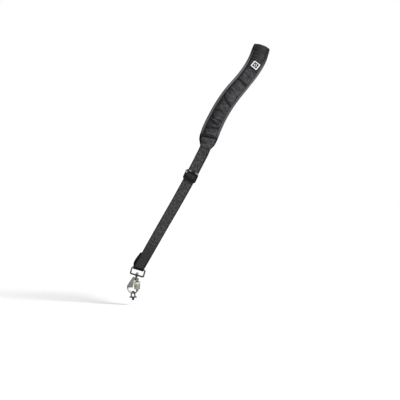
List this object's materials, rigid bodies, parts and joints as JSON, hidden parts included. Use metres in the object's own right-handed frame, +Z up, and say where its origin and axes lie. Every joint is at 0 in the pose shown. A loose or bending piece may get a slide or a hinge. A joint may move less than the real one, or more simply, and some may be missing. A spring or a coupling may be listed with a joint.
{
  "type": "camera sling strap",
  "caption": "Camera sling strap in its worn loop: padded shoulder part, webbing runs, slider, wire ring, swivel hook with gate and lock sleeve, screw eye.",
  "frame": {"origin": "underside of the padded part at the crest of the shoulder", "axes": "+Z up, front of the wearer towards -Y, +X across the wearer, away from the hip that the ring hangs beside"},
  "size_m": [0.3457, 0.2196, 0.6205],
  "materials": {
    "pad_cloth": "dark charcoal padded cloth",
    "face_cloth": "charcoal cloth with a slight lilac tint",
    "binding_cloth": "dark binding tape with a stitched edge",
    "tape_weave": "dark grey woven webbing",
    "label_cloth": "plain white sewn patch",
    "slider_plastic": "black moulded plastic",
    "nickel": "nickel-plated steel",
    "sleeve_metal": "pale satin metal",
    "stud_metal": "black coated steel"
  },
  "bodies": {
    "strap": {"shoulder_pad": "pad_cloth", "shoulder_panel": "face_cloth", "face_panel": "face_cloth", "edge_binding_inner": "binding_cloth", "edge_binding_outer": "binding_cloth", "front_tab": "face_cloth", "rear_tab": "face_cloth", "label": "label_cloth", "webbing_front": "tape_weave", "webbing_rear": "tape_weave", "slider": "slider_plastic"},
    "ring": {"ring": "nickel"},
    "hook": {"swivel_hook": "nickel"},
    "gate": {"gate": "nickel"},
    "sleeve": {"lock_sleeve": "sleeve_metal"},
    "stud": {"camera_stud": "stud_metal"}
  },
  "joints": [
    {"name": "ring_swing", "type": "hinge", "parent": "strap", "child": "ring", "pos_m": [-0.2962, 0, -0.5313], "axis": [0.9613, 0, -0.2756], "range_deg": [-70, 70]},
    {"name": "hook_swivel", "type": "hinge", "parent": "ring", "child": "hook", "pos_m": [-0.30067, 0, -0.54687], "axis": [0.2756, 0, 0.9613], "continuous": true},
    {"name": "gate_swing", "type": "hinge", "parent": "hook", "child": "gate", "pos_m": [-0.29977, 0, -0.55707], "axis": [0, 1, 0], "range_deg": [0, 6.5], "stiffness_Nm_per_rad": 0.02, "springref_deg": -11.46},
    {"name": "sleeve_slide", "type": "slide", "parent": "gate", "child": "sleeve", "axis": [0, 0, 1], "range_m": [-0.004, 0]},
    {"name": "stud_swing", "type": "hinge", "parent": "hook", "child": "stud", "pos_m": [-0.30967, 0, -0.59007], "axis": [1, 0, 0], "range_deg": [-35, 35]}
  ]
}
